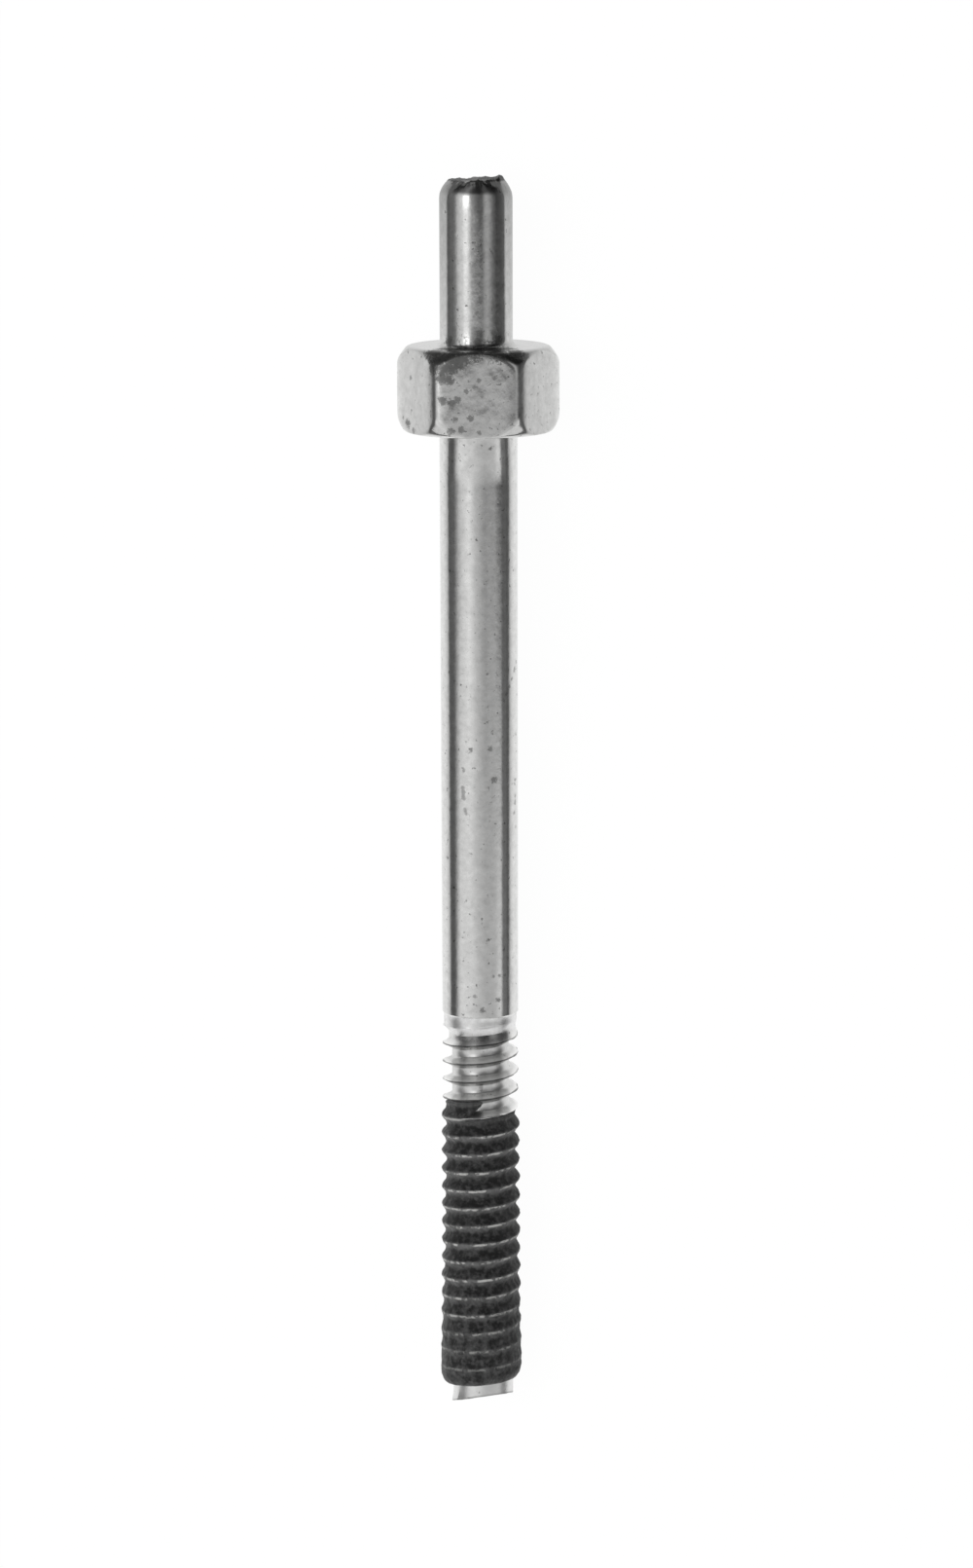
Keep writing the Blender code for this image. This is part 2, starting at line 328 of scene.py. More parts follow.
for vertex in thread.data.vertices:
    point = vertex.co
    radius = math.hypot(point.x, point.y)
    turned = math.atan2(point.y, point.x) / math.tau
    down = (THREAD_TOP - point.z) / PITCH + turned
    groove = math.floor(down + HALF_CREST)
    since_start = groove - turned
    cut = share(START_DEPTH + DEEPER_EACH_TURN * since_start)
    left = share((point.z - THREAD_END) / RUN_OUT)
    outer = share((radius - CREST_FROM) / CREST_BLEND)
    shaped = COLLAR_RADIUS + (radius - COLLAR_RADIUS) * cut
    if groove == 0:
        opened = share(FIRST_START_DEPTH + FIRST_DEEPER * since_start)
        first = COLLAR_RADIUS + (first_groove(max(down, 0.0)) - COLLAR_RADIUS) * opened
        changed = smooth_rise((since_start - CHANGE_START) / CHANGE_LENGTH)
        shaped = first + (shaped - first) * changed
    swell, nick = CREST_SWELL * noise.noise(point * 1.9), CREST_NICK * noise.noise(point * 5.3)
    uneven = swell + nick - CREST_LOSS
    shaped += cut * outer * uneven
    shaped = STUB_RADIUS + (shaped - STUB_RADIUS) * left
    point.x *= shaped / radius
    point.y *= shaped / radius
    point.x += STUB_OFF_CENTRE * (1 - left)
    point.z += outer * cut * left * CREST_WANDER * noise.noise(point * 2.7 + Vector((0, 5, 0)))


# The bare end below the thread, pinched off with cutters: slanted, with a bevel to the front and
# one to the back, a small burr at the left, and bumps 0.45 mm wide (2.2 to the millimetre).

STUB_TOP = THREAD_END - 0.04
STUB_END = THREAD_END - 0.96
END_SLANT = math.radians(8.3)
END_BEVEL = math.radians(16)
END_ROUGHNESS = 0.03
END_PINCH = 0.09
PINCHED_FROM = -1.0
RIM_REACH = 0.20

stub_profile = [(STUB_RADIUS, STUB_TOP)]
stub_profile += straight(stub_profile[0], (STUB_RADIUS, STUB_END + 0.05), 8)
stub_profile += [(STUB_RADIUS - 0.015, STUB_END + 0.01), (STUB_RADIUS - 0.05, STUB_END)]
stub_profile += [(0.9, STUB_END), (0.4, STUB_END), (0.0, STUB_END)]
stub = draw_profile("stub", stub_profile)
spin_profile(stub, THREAD_SIDES)
for vertex in stub.data.vertices:
    point = vertex.co
    near_end = share((STUB_TOP - point.z) / (STUB_TOP - STUB_END))
    slant = point.x * math.tan(END_SLANT) + abs(point.y) * math.tan(END_BEVEL)
    slant += END_ROUGHNESS * noise.noise(point * 2.2)
    point.x += STUB_OFF_CENTRE - END_PINCH * near_end**3 * (point.x < PINCHED_FROM)
    point.z += near_end * slant


def join_open_ends(piece, height):
    """Bridges the two open rims that face each other near one height."""
    bpy.ops.object.mode_set(mode="EDIT")
    bpy.ops.mesh.select_mode(type="VERT")
    bpy.ops.mesh.select_all(action="DESELECT")
    bpy.ops.mesh.select_non_manifold()
    bpy.ops.object.mode_set(mode="OBJECT")
    for vertex in piece.data.vertices:
        if abs(vertex.co.z - height) > RIM_REACH:
            vertex.select = False
    for edge in piece.data.edges:
        edge.select = all(piece.data.vertices[v].select for v in edge.vertices) and edge.select
    for face in piece.data.polygons:
        face.select = False
    bpy.ops.object.mode_set(mode="EDIT")
    bpy.ops.mesh.bridge_edge_loops()
    bpy.ops.object.mode_set(mode="OBJECT")


bpy.ops.object.select_all(action="DESELECT")
for part in (thread, stub, stud):
    part.select_set(True)
bpy.context.view_layer.objects.active = stud
bpy.ops.object.join()
join_open_ends(stud, THREAD_TOP)
join_open_ends(stud, (THREAD_END + STUB_TOP) / 2)


def finish_mesh(piece, angle):
    """Merges doubles, turns every face outwards, and shades round surfaces smooth."""
    bpy.context.view_layer.objects.active = piece
    piece.select_set(True)
    bpy.ops.object.mode_set(mode="EDIT")
    bpy.ops.mesh.select_all(action="SELECT")
    bpy.ops.mesh.remove_doubles(threshold=MERGE_DISTANCE)
    bpy.ops.mesh.normals_make_consistent(inside=False)
    bpy.ops.object.mode_set(mode="OBJECT")
    bpy.ops.object.shade_smooth_by_angle(angle=math.radians(angle))


# How the stud lies in the CAD model: its axis leans up towards the pin, and the middle of the
# hexagon's underside is at AXIS_PLACE, in metres.
LEAN = math.radians(1.811514)
AXIS_PLACE = Vector((0.0, 0.0158348, 0.0030485))


def lay_down(piece):
    """From millimetres standing up to metres at rest, with the place in the mesh."""
    bpy.ops.object.select_all(action="DESELECT")
    piece.select_set(True)
    bpy.context.view_layer.objects.active = piece
    piece.scale = (0.001, 0.001, 0.001)
    piece.rotation_euler = (LEAN - math.pi / 2, 0, 0)
    piece.location = AXIS_PLACE
    bpy.ops.object.transform_apply(location=True, rotation=True, scale=True)


finish_mesh(stud, 40)
lay_down(stud)


def linear(colour):
    """The linear value of an sRGB hex colour."""
    parts = [int(colour[i : i + 2], 16) / 255 for i in (0, 2, 4)]
    return [c / 12.92 if c <= 0.04045 else ((c + 0.055) / 1.055) ** 2.4 for c in parts] + [1.0]


def add(tree, kind, inputs=(), **settings):
    """Adds one node. An input is a value, or the socket that feeds it."""
    node = tree.nodes.new(kind)
    for name, value in settings.items():
        setattr(node, name, value)
    for key, value in dict(inputs).items():
        if isinstance(value, bpy.types.NodeSocket):
            tree.links.new(value, node.inputs[key])
        else:
            node.inputs[key].default_value = value
    return node


def new_material(name):
    """A material, its node tree and its shader."""
    material = bpy.data.materials.new(name)
    material.use_nodes = True
    return material, material.node_tree, material.node_tree.nodes["Principled BSDF"]


def standing_place(tree):
    """Object coordinates, turned back to millimetres on the standing stud."""
    turn_back = Matrix.Rotation(math.pi / 2 - LEAN, 3, "X")
    place = add(tree, "ShaderNodeTexCoord").outputs["Object"]
    mapping = add(tree, "ShaderNodeMapping", {
        "Vector": place,
        "Location": -(turn_back @ AXIS_PLACE) * 1000,
        "Rotation": (math.pi / 2 - LEAN, 0, 0),
        "Scale": (1000, 1000, 1000),
    })
    return mapping.outputs["Vector"]


def turns_down(tree, place):
    """How many turns a point lies below the thread's top. A crest is a whole number."""
    axes = add(tree, "ShaderNodeSeparateXYZ", {"Vector": place})
    angle = add(tree, "ShaderNodeMath", {
        0: axes.outputs["Y"], 1: axes.outputs["X"],
    }, operation="ARCTAN2")
    turned = add(tree, "ShaderNodeMath", {0: angle.outputs[0], 1: math.tau}, operation="DIVIDE")
    height = add(tree, "ShaderNodeMath", {
        0: axes.outputs["Z"], 1: -1 / PITCH, 2: THREAD_TOP / PITCH,
    }, operation="MULTIPLY_ADD")
    return add(tree, "ShaderNodeMath", {
        0: height.outputs[0], 1: turned.outputs[0],
    }, operation="ADD").outputs[0]


# Plated steel, turned and tumbled: satin metal that mirrors the room in soft lines along the axis.
# The plating is cloudy in patches 0.4 mm wide (2.6 to the millimetre), and pits about 0.1 mm wide,
# the tips of a pattern of 0.24 mm (4.2 to the millimetre), break the mirror up.
plated_steel, tree, shader = new_material("plated_steel")
place = standing_place(tree)
patches = add(tree, "ShaderNodeMapping", {"Vector": place, "Scale": (1.0, 1.0, 1.1)})
mottle = add(tree, "ShaderNodeTexNoise", {
    "Vector": patches.outputs["Vector"], "Scale": 2.6, "Detail": 5.0, "Roughness": 0.68,
})
metal_tone = add(tree, "ShaderNodeMapRange", {
    "Value": mottle.outputs["Fac"], "From Min": 0.22, "From Max": 0.78,
})
pits = add(tree, "ShaderNodeTexNoise", {
    "Vector": place, "Scale": 4.2, "Detail": 3.0, "Roughness": 0.6,
})
pit_depth = add(tree, "ShaderNodeMapRange", {
    "Value": pits.outputs["Fac"], "From Min": 0.64, "From Max": 0.73, "To Max": 0.8,
})
tone = add(tree, "ShaderNodeMix", {
    "Factor": metal_tone.outputs["Result"], "A": linear("C3C3C2"), "B": linear("E8E8E7"),
}, data_type="RGBA")
pitted = add(tree, "ShaderNodeMix", {
    "Factor": pit_depth.outputs["Result"], "A": tone.outputs["Result"], "B": linear("5C5C5B"),
}, data_type="RGBA")

# The thread's crests, lightened nearly to white as a painted highlight, and a dark line of
# painted shade along each crest and just under it. Both start below the shallow first groove, and
# the shade ends where the coat covers it. Its place is a share of the pitch, counted down from a
# crest.
COVERED_FROM = -29.0
axes = add(tree, "ShaderNodeSeparateXYZ", {"Vector": place})
sideways = add(tree, "ShaderNodeCombineXYZ", {"X": axes.outputs["X"], "Y": axes.outputs["Y"]})
from_axis = add(tree, "ShaderNodeVectorMath", {0: sideways.outputs["Vector"]}, operation="LENGTH")
on_crest = add(tree, "ShaderNodeMapRange", {
    "Value": from_axis.outputs["Value"], "From Min": 1.38, "From Max": 1.58,
})
on_thread = add(tree, "ShaderNodeMapRange", {
    "Value": axes.outputs["Z"], "From Min": THREAD_TOP - 0.5, "From Max": THREAD_TOP - 0.9,
})
# Painted highlight: the crests' colour is lightened nearly to white.
painted_crest_highlight = add(tree, "ShaderNodeMath", {
    0: on_crest.outputs["Result"], 1: on_thread.outputs["Result"],
}, operation="MULTIPLY")
crest_highlighted = add(tree, "ShaderNodeMix", {
    "Factor": painted_crest_highlight.outputs[0], "A": pitted.outputs["Result"], "B": linear("F8F8F7"),
}, data_type="RGBA")
below_crest = add(tree, "ShaderNodeMath", {0: turns_down(tree, place)}, operation="FRACT")
crest_shade_start = add(tree, "ShaderNodeMapRange", {
    "Value": below_crest.outputs[0], "From Min": 0.95, "From Max": 0.98, "To Max": 0.85,
})
crest_shade_end = add(tree, "ShaderNodeMapRange", {
    "Value": below_crest.outputs[0], "From Min": 0.09, "From Max": 0.15,
    "To Min": 0.85, "To Max": 0.0,
})
above_coat = add(tree, "ShaderNodeMapRange", {
    "Value": axes.outputs["Z"], "From Min": COVERED_FROM - 0.15, "From Max": COVERED_FROM,
})
painted_crest_shade = add(tree, "ShaderNodeMath", {
    0: crest_shade_start.outputs["Result"], 1: crest_shade_end.outputs["Result"],
}, operation="MAXIMUM")
for shown_on in (on_thread, above_coat):
    painted_crest_shade = add(tree, "ShaderNodeMath", {
        0: painted_crest_shade.outputs[0], 1: shown_on.outputs["Result"],
    }, operation="MULTIPLY")
# Painted shade: a dark line along each crest and just under it, where the thread shades itself.
crest_shaded = add(tree, "ShaderNodeMix", {
    "Factor": painted_crest_shade.outputs[0], "A": crest_highlighted.outputs["Result"], "B": linear("4A4A49"),
}, data_type="RGBA")

# Stains, dirt and small marks, and painted dark reflections on the pin's foot and the hexagon's
# top face, each by its place on the standing stud (across, depth and height) and its radius, in
# millimetres.
STAINS_AND_PAINTED_SHADE = (
    # The large stain at the front flat's upper left.
    (-1.85, -2.90, 3.32, 0.42), (-1.55, -3.05, 3.25, 0.50), (-1.12, -3.05, 3.28, 0.52),
    (-0.74, -3.05, 3.22, 0.40), (-1.38, -3.05, 2.88, 0.44), (-1.02, -3.05, 2.94, 0.34),
    (-1.50, -3.05, 2.52, 0.30), (-1.20, -3.05, 2.50, 0.28), (-0.58, -3.05, 3.34, 0.38),
    (-1.86, -2.85, 2.90, 0.30),
    # Smaller ones on the front flat, and on the flat to its left.
    (-1.46, -3.05, 1.60, 0.25), (-1.08, -3.05, 1.47, 0.22), (-0.84, -3.05, 1.64, 0.17),
    (-0.46, -3.05, 1.98, 0.12), (-0.08, -3.05, 2.16, 0.12), (0.07, -3.05, 2.44, 0.11),
    (-0.28, -3.05, 0.87, 0.15), (-0.92, -3.05, 0.82, 0.13), (-0.66, -3.05, 0.40, 0.15),
    (-1.10, -3.05, 0.31, 0.18), (0.08, -3.05, 0.27, 0.11), (0.72, -3.05, 2.55, 0.10),
    (-2.81, -1.23, 2.36, 0.12), (-2.94, -1.00, 0.42, 0.24), (-2.70, -1.42, 0.16, 0.16),
    # The shank's end, a mark in the thread, and three dots in a row above the collar.
    (0.80, -1.45, -24.24, 0.14), (0.11, -1.63, -24.66, 0.15), (-0.20, -1.62, -24.05, 0.10),
    (0.05, -1.25, -28.00, 0.11), (0.05, -1.25, -28.14, 0.11), (0.04, -1.25, -28.28, 0.10),
    (0.60, -1.55, -23.20, 0.09), (0.84, -1.42, -23.20, 0.09), (1.08, -1.25, -23.20, 0.09),
    # The shank's middle: its right edge, an upright scratch, and single spots.
    (1.53, -0.59, -14.85, 0.13), (1.50, -0.66, -15.00, 0.10), (1.53, -0.59, -15.55, 0.11),
    (1.52, -0.62, -15.80, 0.13), (1.48, -0.71, -16.25, 0.11), (1.55, -0.54, -16.90, 0.09),
    (-0.70, -1.49, -15.02, 0.11), (-0.69, -1.49, -15.11, 0.11), (-0.68, -1.50, -15.20, 0.12),
    (-0.67, -1.50, -15.29, 0.12), (-0.66, -1.51, -15.38, 0.12), (-0.65, -1.51, -15.47, 0.11),
    (-0.58, -1.54, -15.95, 0.10), (-0.57, -1.54, -16.03, 0.10), (-0.56, -1.55, -16.11, 0.09),
    (-0.68, -1.50, -14.20, 0.09), (-0.66, -1.51, -14.28, 0.09), (0.48, -1.57, -13.33, 0.14),
    (0.63, -1.51, -14.68, 0.17), (-1.20, -1.12, -13.15, 0.09), (-1.22, -1.10, -16.05, 0.10),
    # A slanted scratch higher up on the shank's right.
    (1.58, -0.46, -9.80, 0.10), (1.50, -0.68, -10.12, 0.10), (1.40, -0.87, -10.44, 0.10),
    (1.28, -1.04, -10.76, 0.10), (1.16, -1.17, -11.06, 0.10), (1.06, -1.27, -11.33, 0.09),
    # The pin's spots, painted dark reflections at its foot, and the bare end's spots.
    (-0.05, -1.53, 5.10, 0.10), (0.62, -1.40, 7.60, 0.08), (-0.02, -1.53, 3.90, 0.24),
    (0.84, -1.25, 3.95, 0.30), (-1.18, -1.05, 3.86, 0.26), (0.70, -1.35, 4.25, 0.20),
    (0.00, -1.53, 4.25, 0.16), (0.98, -0.85, -42.00, 0.15), (-0.62, -1.18, -42.05, 0.12),
    # The hexagon's top face in front of the pin: a painted dark reflection of the pin.
    (-1.35, -1.60, 3.63, 0.52), (-0.75, -1.95, 3.63, 0.66), (0.0, -2.10, 3.63, 0.70),
    (0.70, -1.95, 3.63, 0.66), (1.25, -1.60, 3.63, 0.52), (-1.75, -2.35, 3.56, 0.50),
    (-1.00, -2.72, 3.56, 0.52), (-0.10, -2.85, 3.56, 0.50), (0.80, -2.76, 3.56, 0.52),
    (1.55, -2.45, 3.54, 0.50), (-0.65, -2.40, 3.60, 0.45), (0.0, -2.50, 3.60, 0.45),
    (0.65, -2.40, 3.60, 0.45),
)
# A stain's edge is torn in bits of 0.13 mm (7.5 to the millimetre), in proportion to its radius. It
# is whole up to STAIN_CORE of its radius and gone at STAIN_REACH, and a small one is fainter.
RAGGEDNESS = 2.6
STAIN_CORE, STAIN_REACH = 0.55, 1.05
torn_bits = add(tree, "ShaderNodeTexNoise", {
    "Vector": place, "Scale": 7.5, "Detail": 4.0, "Roughness": 0.7,
})
ragged = add(tree, "ShaderNodeMath", {0: torn_bits.outputs["Fac"], 1: 0.5}, operation="SUBTRACT")
stain_and_shade_cover = None
for x, y, z, radius in STAINS_AND_PAINTED_SHADE:
    reach = add(tree, "ShaderNodeVectorMath", {0: place, 1: (x, y, z)}, operation="DISTANCE")
    torn_edge = add(tree, "ShaderNodeMath", {
        0: ragged.outputs[0], 1: RAGGEDNESS * radius, 2: reach.outputs["Value"],
    }, operation="MULTIPLY_ADD")
    covered = add(tree, "ShaderNodeMapRange", {
        "Value": torn_edge.outputs[0],
        "From Min": STAIN_CORE * radius, "From Max": STAIN_REACH * radius,
        "To Min": min(0.40 + 1.8 * radius, 1.0), "To Max": 0.0,
    })
    stain_and_shade_cover = covered.outputs["Result"] if stain_and_shade_cover is None else add(tree, "ShaderNodeMath", {
        0: stain_and_shade_cover, 1: covered.outputs["Result"],
    }, operation="MAXIMUM").outputs[0]
# Stains, and the painted dark reflections on the pin's foot and the hexagon's top face, darken the
# colour.
stain_and_shade_tone = add(tree, "ShaderNodeMath", {0: stain_and_shade_cover, 1: 0.82}, operation="MULTIPLY")
stained_and_shaded = add(tree, "ShaderNodeMix", {
    "Factor": stain_and_shade_tone.outputs[0], "A": crest_shaded.outputs["Result"], "B": linear("585857"),
}, data_type="RGBA")

# The collar and the bare end, left dull and pale by the plating, and the two ends' cut faces, torn
# and grey.
below_step = add(tree, "ShaderNodeMapRange", {
    "Value": axes.outputs["Z"], "From Min": SHANK_END, "From Max": SHANK_END - 0.08,
})
above_thread = add(tree, "ShaderNodeMapRange", {
    "Value": axes.outputs["Z"], "From Min": THREAD_TOP - 0.65, "From Max": THREAD_TOP - 0.40,
})
on_collar = add(tree, "ShaderNodeMath", {
    0: below_step.outputs["Result"], 1: above_thread.outputs["Result"],
}, operation="MULTIPLY")
on_stub = add(tree, "ShaderNodeMapRange", {
    "Value": axes.outputs["Z"], "From Min": THREAD_END + 0.15, "From Max": THREAD_END,
    "To Max": 0.3,
})
pale_collar = add(tree, "ShaderNodeMath", {
    0: on_collar.outputs[0], 1: metal_tone.outputs["Result"],
}, operation="MULTIPLY")
pale = add(tree, "ShaderNodeMath", {
    0: pale_collar.outputs[0], 1: on_stub.outputs["Result"],
}, operation="MAXIMUM")
paled = add(tree, "ShaderNodeMix", {
    "Factor": pale.outputs[0], "A": stained_and_shaded.outputs["Result"], "B": linear("FAFAFA"),
}, data_type="RGBA")
on_pin_end = add(tree, "ShaderNodeMapRange", {
    "Value": axes.outputs["Z"], "From Min": PIN_TOP - 0.10, "From Max": PIN_TOP - 0.03,
    "To Max": 0.85,
})
above_pinch = add(tree, "ShaderNodeVectorMath", {
    0: place, 1: (-math.tan(END_SLANT), math.tan(END_BEVEL), 1.0),
}, operation="DOT_PRODUCT")
on_pinch = add(tree, "ShaderNodeMapRange", {
    "Value": above_pinch.outputs["Value"], "From Min": STUB_END + 0.03, "From Max": STUB_END + 0.09,
    "To Min": 0.6, "To Max": 0.0,
})
on_cut = add(tree, "ShaderNodeMath", {
    0: on_pin_end.outputs["Result"], 1: on_pinch.outputs["Result"],
}, operation="MAXIMUM")
cut_grey = add(tree, "ShaderNodeMix", {
    "Factor": on_cut.outputs[0], "A": paled.outputs["Result"], "B": linear("5A5A59"),
}, data_type="RGBA")
tree.links.new(cut_grey.outputs["Result"], shader.inputs["Base Color"])

# The shine: satin, cloudy with the mottle, and dull on the cuts, the stains and the painted dark
# reflections, the collar and the rolled thread. The surface keeps a grain of 0.2 mm (4.5 to the
# millimetre), drawn out a little along the axis. The real grain is finer, and this one is as coarse
# as it needs to be to show.
satin = add(tree, "ShaderNodeMapRange", {
    "Value": mottle.outputs["Fac"], "From Min": 0.3, "From Max": 0.7,
    "To Min": 0.08, "To Max": 0.15,
})
rolled = add(tree, "ShaderNodeMath", {0: on_thread.outputs["Result"], 1: 0.9}, operation="MULTIPLY")
dull = on_cut
for dull_part in (stain_and_shade_cover, on_collar.outputs[0], rolled.outputs[0]):
    dull = add(tree, "ShaderNodeMath", {0: dull.outputs[0], 1: dull_part}, operation="MAXIMUM")
dullness = add(tree, "ShaderNodeMath", {
    0: dull.outputs[0], 1: 0.25, 2: satin.outputs["Result"],
}, operation="MULTIPLY_ADD")
tree.links.new(dullness.outputs[0], shader.inputs["Roughness"])
shader.inputs["Metallic"].default_value = 1.0
drawn = add(tree, "ShaderNodeMapping", {"Vector": place, "Scale": (1.0, 1.0, 0.6)})
fine_grain = add(tree, "ShaderNodeTexNoise", {
    "Vector": drawn.outputs["Vector"], "Scale": 4.5, "Detail": 2.0, "Roughness": 0.5,
})
surface_height = add(tree, "ShaderNodeMath", {
    0: stain_and_shade_cover, 1: -0.30, 2: fine_grain.outputs["Fac"],
}, operation="MULTIPLY_ADD")
surface_height = add(tree, "ShaderNodeMath", {
    0: pit_depth.outputs["Result"], 1: -0.45, 2: surface_height.outputs[0],
}, operation="MULTIPLY_ADD")
unevenness = add(tree, "ShaderNodeBump", {
    "Height": surface_height.outputs[0], "Strength": 0.10, "Distance": 0.00003,
})
tree.links.new(unevenness.outputs["Normal"], shader.inputs["Normal"])

stud.data.materials.clear()
stud.data.materials.append(plated_steel)
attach(stud, "root")
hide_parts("stud")


# The thread-locking compound: brushed on wet and dried to a dull, dark, grainy crust. It follows
# the thread in rounded ridges, fills the grooves more and more towards the end, and starts with a
# step.

RIDGE_RADIUS = 1.68
GROOVE_RADIUS = 1.47
RIDGE_SHARPNESS = 1.2
COAT_END_RADIUS = 1.75
LATE_FILLING = 2.5
COAT_BOTTOM = THREAD_END - 0.15
COAT_ROUND_AXIAL = 0.70
COAT_ROUND_RADIAL = 0.34
COAT_SIDES = 160
COAT_ROWS = 16

# The coat's start: its turn of the thread, the angle of its step, and the patch in the groove
# above, which ends at a slant. Lengths along the thread are in turns. The edges wander in waves of
# 0.25 and 0.2 mm (4 and 5 to the millimetre).
COAT_TOP_TURN = 5
COAT_STEP_ANGLE = math.radians(-50)
START_SET_BACK = 0.12
START_WANDER = 0.05
START_SLOPE = 0.22
PATCH_SLOPE = 0.16
PATCH_END = math.radians(-93)
PATCH_SLANT = math.radians(33)
PATCH_END_SLOPE = 0.34
PATCH_WANDER = 0.10

# The coat's end hangs a little lower at the left and at the back, over its last 1.5 mm. Its surface
# is lumpy: 0.4 mm (2.3 to the millimetre) and 0.2 mm wide. Where no coat shows, it lies inside the
# steel, as its bore does.
COAT_END_SLANT = 0.085
COAT_END_LEAN = 0.07
COAT_END_LENGTH = 1.5
WIDE_LUMP = 0.030
SMALL_LUMP = 0.024
COAT_HIDDEN_RADIUS = 1.19
COAT_BORE_TOP = 1.12
COAT_BORE_END = 1.18

coat_rows = [(1.0, -PITCH * i / COAT_ROWS) for i in range(COAT_ROWS + 1)]
coat_top = THREAD_TOP + PITCH * (COAT_STEP_ANGLE / math.tau - COAT_TOP_TURN + 1)
coat_turns = math.ceil((coat_top - COAT_BOTTOM) / PITCH) + 2
coat_start = coat_top - coat_turns * PITCH
coat = draw_profile(
    "thread_locker_sleeve", [(radius, coat_start + height) for radius, height in coat_rows]
)
coat.rotation_euler = (0, 0, COAT_STEP_ANGLE)
bpy.ops.object.transform_apply(location=True, rotation=True, scale=True)
wind_profile(coat, coat_turns, COAT_SIDES)
cut_to_length(coat, coat_top + PITCH, COAT_BOTTOM)


def coat_radius(point):
    """Ridges over the thread, filled in and rounded towards the end, and thin where it starts."""
    angle = math.atan2(point.y, point.x)
    down = (THREAD_TOP - point.z) / PITCH + angle / math.tau
    wave = (0.5 + 0.5 * math.cos(math.tau * down)) ** RIDGE_SHARPNESS
    filled = share((coat_top - point.z) / (coat_top - COAT_BOTTOM - COAT_ROUND_AXIAL))
    radius = GROOVE_RADIUS + (RIDGE_RADIUS - GROOVE_RADIUS) * wave
    radius += (COAT_END_RADIUS - radius) * filled**LATE_FILLING
    above_end = (point.z - COAT_BOTTOM) / COAT_ROUND_AXIAL
    if above_end < 1:
        radius -= COAT_ROUND_RADIAL * (1 - math.sqrt(max(1 - (1 - above_end) ** 2, 0.0)))
    along_start = down - COAT_TOP_TURN - START_SET_BACK + START_WANDER * noise.noise(point * 4.0)
    shown = smooth_rise(along_start / START_SLOPE)
    if angle < COAT_STEP_ANGLE:
        along_patch = along_start + 1
        patch_end = PATCH_END - PATCH_SLANT * along_patch + PATCH_WANDER * noise.noise(point * 5.0)
        patched = smooth_rise(along_patch / PATCH_SLOPE)
        patched *= 1 - smooth_rise((angle - patch_end) / PATCH_END_SLOPE)
        shown = 1 - (1 - shown) * (1 - patched)
    return COAT_HIDDEN_RADIUS + (radius - COAT_HIDDEN_RADIUS) * shown


for vertex in coat.data.vertices:
    point = vertex.co
    shaped = coat_radius(point)
    surface = Vector((point.x * shaped, point.y * shaped, point.z))
    shaped += WIDE_LUMP * noise.noise(surface * 2.3) + SMALL_LUMP * noise.noise(surface * 6.0)
    near_end = smooth_rise(1 - (point.z - COAT_BOTTOM) / COAT_END_LENGTH)
    point.x *= shaped
    point.y *= shaped
    point.z += near_end * (COAT_END_SLANT * point.x - COAT_END_LEAN * point.y)


# Both open rims are drawn inwards, below the steel's surface, and joined by the coat's inside.
bpy.ops.object.mode_set(mode="EDIT")
bpy.ops.mesh.select_mode(type="VERT")
bpy.ops.mesh.select_all(action="DESELECT")
bpy.ops.mesh.select_non_manifold()
bpy.ops.mesh.extrude_region_move()
bpy.ops.object.mode_set(mode="OBJECT")
for vertex in coat.data.vertices:
    if vertex.select:
        bore = COAT_BORE_TOP if vertex.co.z > (coat_top + COAT_BOTTOM) / 2 else COAT_BORE_END
        radius = math.hypot(vertex.co.x, vertex.co.y)
        vertex.co.x *= bore / radius
        vertex.co.y *= bore / radius
bpy.ops.object.mode_set(mode="EDIT")
bpy.ops.mesh.bridge_edge_loops()
bpy.ops.object.mode_set(mode="OBJECT")
finish_mesh(coat, 60)
lay_down(coat)


# Dried anaerobic compound: dull and nearly black, with a grey grain of 0.26 mm (3.8 to the
# millimetre) and finer, with painted light and shade across each ridge, lighter around the crest
# and darker in the groove, and rubbed bright along the thread's crests, where only a film is left
# on the steel. The painted light and shade and the rubbed line fade towards the end, where the
# coat is thick.
FADE_FROM, FADE_TO = -36.5, -40.5
THIN_UNTIL, THIN_FROM = -29.9, -29.5
dried_compound, tree, shader = new_material("dried_thread_locker")
place = standing_place(tree)
grain = add(tree, "ShaderNodeTexNoise", {
    "Vector": place, "Scale": 3.8, "Detail": 6.0, "Roughness": 0.66,
})
within = add(tree, "ShaderNodeMath", {0: turns_down(tree, place)}, operation="FRACT")
# Painted light and shade across each ridge: lighter around the crest, darker in the groove between.
painted_light_below_crest = add(tree, "ShaderNodeMapRange", {
    "Value": within.outputs[0], "From Min": 0.10, "From Max": 0.55, "To Min": 0.26, "To Max": -0.06,
}, interpolation_type="SMOOTHSTEP")
painted_light_above_crest = add(tree, "ShaderNodeMapRange", {
    "Value": within.outputs[0], "From Min": 0.90, "From Max": 1.0, "To Max": 0.20,
})
axes = add(tree, "ShaderNodeSeparateXYZ", {"Vector": place})
thicker = add(tree, "ShaderNodeMapRange", {
    "Value": axes.outputs["Z"], "From Min": FADE_FROM, "From Max": FADE_TO,
    "To Min": 1.0, "To Max": 0.30,
})
painted_ridge_shading = add(tree, "ShaderNodeMath", {
    0: painted_light_below_crest.outputs["Result"], 1: painted_light_above_crest.outputs["Result"],
}, operation="ADD")
grain_and_painted_shading = add(tree, "ShaderNodeMath", {
    0: painted_ridge_shading.outputs[0], 1: thicker.outputs["Result"], 2: grain.outputs["Fac"],
}, operation="MULTIPLY_ADD")
crust_tone = add(tree, "ShaderNodeMapRange", {
    "Value": grain_and_painted_shading.outputs[0], "From Min": 0.40, "From Max": 0.84,
})
crust = add(tree, "ShaderNodeMix", {
    "Factor": crust_tone.outputs["Result"], "A": linear("121212"), "B": linear("525252"),
}, data_type="RGBA")
